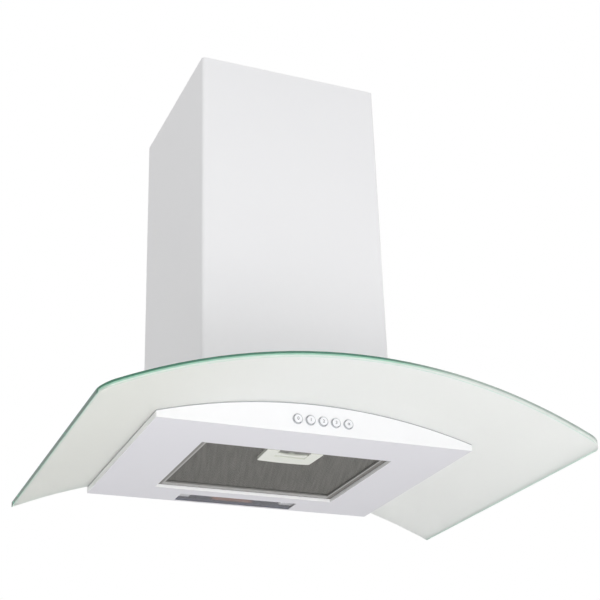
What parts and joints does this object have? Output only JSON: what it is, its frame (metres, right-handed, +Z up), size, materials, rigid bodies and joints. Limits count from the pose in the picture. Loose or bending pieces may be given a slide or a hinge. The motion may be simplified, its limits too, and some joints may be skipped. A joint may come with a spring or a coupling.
{
  "type": "curved glass range hood",
  "caption": "Wall range hood: arched glass canopy over a shallow white pan with push buttons, grease filter and lamp, and a telescoping flue cover that hides the fan.",
  "frame": {"origin": "centre of the four wall holes, on the wall plane", "axes": "+Z up, +Y into the wall, so the hood faces -Y; +X to the right as seen from the room"},
  "size_m": [0.6, 0.457, 0.5735],
  "materials": {
    "glass": "frosted tempered glass with polished green edge",
    "white_paint": "smooth semi-gloss white powder coat",
    "rubber": "matt black rubber",
    "seal": "grey strip",
    "zinc_steel": "galvanised sheet",
    "bolt_steel": "zinc plated",
    "button_silver": "pale silver plastic with plain marks",
    "bezel_chrome": "bright ring",
    "black_plastic": "moulded black plastic",
    "filter_aluminium": "mill finish strip",
    "filter_mesh": "layers of expanded metal",
    "catch_plastic": "pale plastic",
    "lens": "clear grey cover",
    "lamp_tin": "bright tin",
    "holder_plastic": "ivory plastic",
    "bulb_glass": "frosted bulb",
    "motor_case": "painted motor case",
    "grey_plastic": "moulded grey plastic",
    "capacitor_can": "white plastic can"
  },
  "bodies": {
    "hood": {"glass_canopy": "glass", "underside_panel": "white_paint", "front_panel": "white_paint", "lower_chimney": "white_paint", "gasket_below_glass": "rubber", "gasket_above_glass": "rubber", "glass_bushes": "rubber", "perimeter_seal": "seal", "air_chamber": "zinc_steel", "carcass_shell": "zinc_steel", "carcass_lid": "zinc_steel", "chimney_foot_left": "zinc_steel", "chimney_foot_right": "zinc_steel", "scroll_wrap": "zinc_steel", "scroll_side_left": "zinc_steel", "scroll_side_right": "zinc_steel", "motor_bracket": "zinc_steel", "collar_plate": "zinc_steel", "glass_bolts": "bolt_steel", "glass_nuts": "bolt_steel", "motor_screws": "bolt_steel", "collar_screws": "bolt_steel", "button_bezels": "bezel_chrome", "switch_block": "black_plastic", "cable_gland": "black_plastic", "outlet_collar": "black_plastic", "lamp_lens": "lens", "lamp_housing": "lamp_tin", "lamp_holders": "holder_plastic", "terminal_block": "holder_plastic", "lamp_bulbs": "bulb_glass", "motor": "motor_case", "control_box": "grey_plastic", "control_box_lid": "grey_plastic", "capacitor": "capacitor_can"},
    "button_body_1": {"button_1": "button_silver"},
    "button_body_2": {"button_2": "button_silver"},
    "button_body_3": {"button_3": "button_silver"},
    "button_body_4": {"button_4": "button_silver"},
    "button_body_5": {"button_5": "button_silver"},
    "upper_cover": {"upper_chimney": "white_paint", "upper_bracket": "zinc_steel"},
    "fan_wheel": {"impeller": "black_plastic", "motor_shaft": "bolt_steel", "impeller_nut": "bolt_steel"},
    "flap_front": {"damper_flap_front": "black_plastic"},
    "flap_rear": {"damper_flap_rear": "black_plastic"},
    "filter": {"filter_frame": "filter_aluminium", "filter_mesh_outer": "filter_mesh", "filter_mesh_core": "filter_mesh", "filter_mesh_inner": "filter_mesh", "catch_housing": "catch_plastic"},
    "catch": {"catch_slider": "catch_plastic"}
  },
  "joints": [
    {"name": "button_1_push", "type": "slide", "parent": "hood", "child": "button_body_1", "axis": [0, 1, 0], "range_m": [0, 0.003], "stiffness_N_per_m": 250},
    {"name": "button_2_push", "type": "slide", "parent": "hood", "child": "button_body_2", "axis": [0, 1, 0], "range_m": [0, 0.003], "stiffness_N_per_m": 250},
    {"name": "button_3_push", "type": "slide", "parent": "hood", "child": "button_body_3", "axis": [0, 1, 0], "range_m": [0, 0.003], "stiffness_N_per_m": 250},
    {"name": "button_4_push", "type": "slide", "parent": "hood", "child": "button_body_4", "axis": [0, 1, 0], "range_m": [0, 0.003], "stiffness_N_per_m": 250},
    {"name": "button_5_push", "type": "slide", "parent": "hood", "child": "button_body_5", "axis": [0, 1, 0], "range_m": [0, 0.003], "stiffness_N_per_m": 250},
    {"name": "upper_cover_slide", "type": "slide", "parent": "hood", "child": "upper_cover", "axis": [0, 0, 1], "range_m": [0, 0.3]},
    {"name": "fan_spin", "type": "hinge", "parent": "hood", "child": "fan_wheel", "pos_m": [0, -0.088, -0.0166], "axis": [1, 0, 0], "continuous": true},
    {"name": "flap_front_swing", "type": "hinge", "parent": "hood", "child": "flap_front", "pos_m": [0, -0.1172, 0.1237], "axis": [-1, 0, 0], "range_deg": [0, 78]},
    {"name": "flap_rear_swing", "type": "hinge", "parent": "hood", "child": "flap_rear", "pos_m": [0, -0.1108, 0.1237], "axis": [1, 0, 0], "range_deg": [0, 78]},
    {"name": "filter_drop", "type": "hinge", "parent": "hood", "child": "filter", "pos_m": [0, -0.0585, -0.1382], "axis": [1, 0, 0], "range_deg": [0, 75]},
    {"name": "catch_slide", "type": "slide", "parent": "filter", "child": "catch", "axis": [0, 1, 0], "range_m": [-0.003, 0.004], "stiffness_N_per_m": 200}
  ]
}
